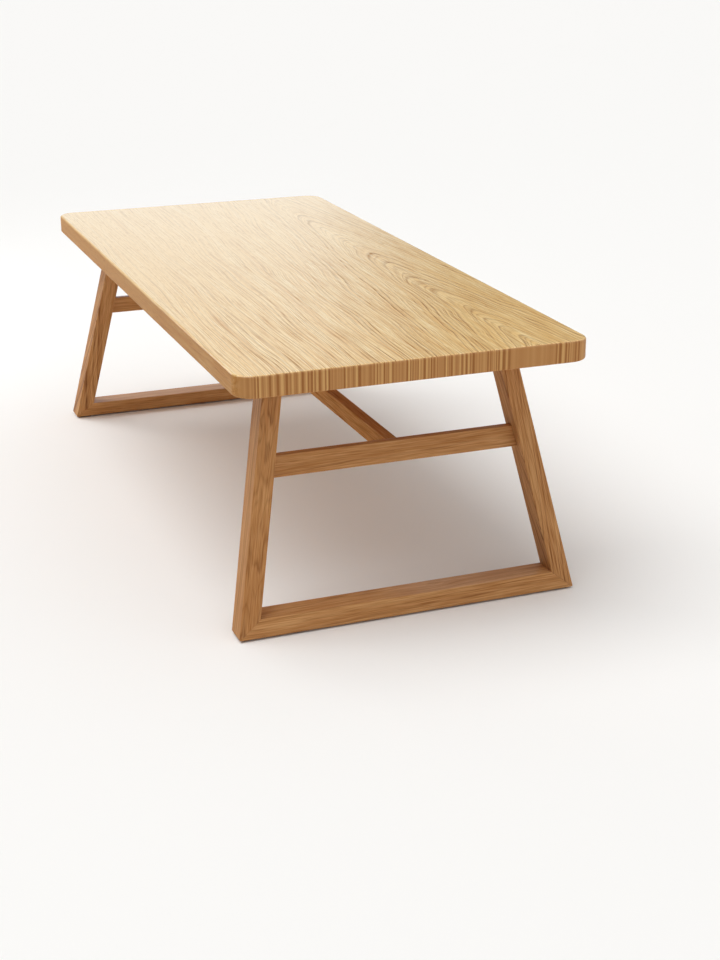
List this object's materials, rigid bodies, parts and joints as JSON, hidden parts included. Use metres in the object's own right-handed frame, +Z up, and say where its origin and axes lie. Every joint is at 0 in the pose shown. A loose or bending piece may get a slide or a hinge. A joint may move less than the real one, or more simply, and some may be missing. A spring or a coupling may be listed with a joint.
{
  "type": "dining table",
  "caption": "Long dining table: a thick wooden top with rounded corners on leaning trapezoid end frames with foot rails and cross rails, tied together by a central stretcher.",
  "frame": {"origin": "on the floor, below the middle of the top", "axes": "+X along the table's length, +Y across it with the front long side at -Y, +Z up"},
  "size_m": [2.2, 1, 0.75],
  "materials": {
    "top_wood": "satin lacquer on pale honey ash",
    "frame_wood": "satin lacquer on ash",
    "tenon_wood": "bare beech",
    "zinc_steel": "zinc plated",
    "insert_brass": "machined",
    "pad_nylon": "matt dark nylon"
  },
  "bodies": {
    "root": {"top_board_1": "top_wood", "top_board_2": "top_wood", "top_board_3": "top_wood", "top_board_4": "top_wood", "top_board_5": "top_wood", "top_board_6": "top_wood", "top_board_7": "top_wood", "front_right_leg": "frame_wood", "back_right_leg": "frame_wood", "front_left_leg": "frame_wood", "back_left_leg": "frame_wood", "right_foot_rail": "frame_wood", "left_foot_rail": "frame_wood", "right_cross_rail": "frame_wood", "left_cross_rail": "frame_wood", "right_top_bearer": "frame_wood", "left_top_bearer": "frame_wood", "stretcher": "frame_wood", "right_stretcher_plug": "frame_wood", "left_stretcher_plug": "frame_wood", "front_right_foot_tenon": "tenon_wood", "back_right_foot_tenon": "tenon_wood", "front_left_foot_tenon": "tenon_wood", "back_left_foot_tenon": "tenon_wood", "right_top_1_bolt": "zinc_steel", "right_top_2_bolt": "zinc_steel", "right_top_3_bolt": "zinc_steel", "left_top_1_bolt": "zinc_steel", "left_top_2_bolt": "zinc_steel", "left_top_3_bolt": "zinc_steel", "right_top_1_washer": "zinc_steel", "right_top_2_washer": "zinc_steel", "right_top_3_washer": "zinc_steel", "left_top_1_washer": "zinc_steel", "left_top_2_washer": "zinc_steel", "left_top_3_washer": "zinc_steel", "right_top_1_insert": "insert_brass", "right_top_2_insert": "insert_brass", "right_top_3_insert": "insert_brass", "left_top_1_insert": "insert_brass", "left_top_2_insert": "insert_brass", "left_top_3_insert": "insert_brass", "right_stretcher_bolt": "zinc_steel", "left_stretcher_bolt": "zinc_steel", "right_stretcher_nut": "zinc_steel", "left_stretcher_nut": "zinc_steel", "front_right_foot_pad": "pad_nylon", "back_right_foot_pad": "pad_nylon", "front_left_foot_pad": "pad_nylon", "back_left_foot_pad": "pad_nylon", "front_right_pad_screw": "zinc_steel", "back_right_pad_screw": "zinc_steel", "front_left_pad_screw": "zinc_steel", "back_left_pad_screw": "zinc_steel"}
  },
  "joints": []
}
